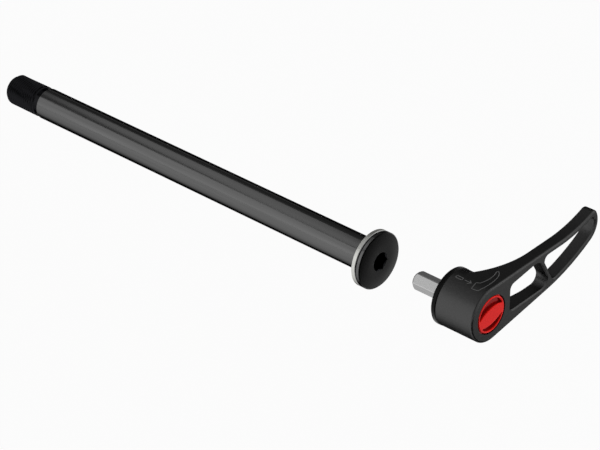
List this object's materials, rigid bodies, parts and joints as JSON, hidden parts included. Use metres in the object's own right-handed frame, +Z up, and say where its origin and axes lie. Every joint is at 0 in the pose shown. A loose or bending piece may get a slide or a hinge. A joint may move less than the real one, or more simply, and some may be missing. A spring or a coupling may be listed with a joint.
{
  "type": "bicycle thru axle",
  "caption": "Hollow thru axle with a threaded end, a hex socket head and loose washer, and a plug-in ratchet lever with a windowed arm, drawn pulled out of the head.",
  "frame": {"origin": "on the axle's axis, in the plane of the washer's rear face, where it clamps the frame", "axes": "+Y along the shank towards the threaded end, +X the way the lever's arm points, +Z up"},
  "size_m": [0.0677, 0.2302, 0.0255],
  "materials": {
    "anodised_shaft": "black anodised, satin, turned",
    "bright_metal": "bright turned",
    "tool_steel": "satin drawn bar",
    "black_hub": "blackened",
    "anodised_lever": "black anodised, fine blasted",
    "red_cap": "gloss moulded",
    "inner_steel": "plain"
  },
  "bodies": {
    "axle": {"axle": "anodised_shaft"},
    "washer": {"washer": "bright_metal"},
    "key": {"hex_key": "tool_steel", "ratchet_hub": "black_hub", "retaining_washer": "inner_steel", "retaining_screw": "inner_steel", "spring": "inner_steel"},
    "seat": {"spring_seat": "inner_steel"},
    "lever": {"lever": "anodised_lever", "end_cap": "red_cap"}
  },
  "joints": [
    {"name": "washer_spin", "type": "hinge", "parent": "axle", "child": "washer", "pos_m": [0, 0, 0], "axis": [0, 1, 0], "continuous": true},
    {"name": "lever_plug", "type": "slide", "parent": "axle", "child": "key", "axis": [0, 1, 0], "range_m": [0, 0.0302]},
    {"name": "lever_pull", "type": "slide", "parent": "key", "child": "seat", "axis": [0, -1, 0], "range_m": [0, 0.0026], "stiffness_N_per_m": 1500, "springref_m": -0.002, "deforming": ["spring"]},
    {"name": "lever_turn", "type": "hinge", "parent": "seat", "child": "lever", "pos_m": [0, -0.044, 0], "axis": [0, 1, 0], "continuous": true}
  ]
}
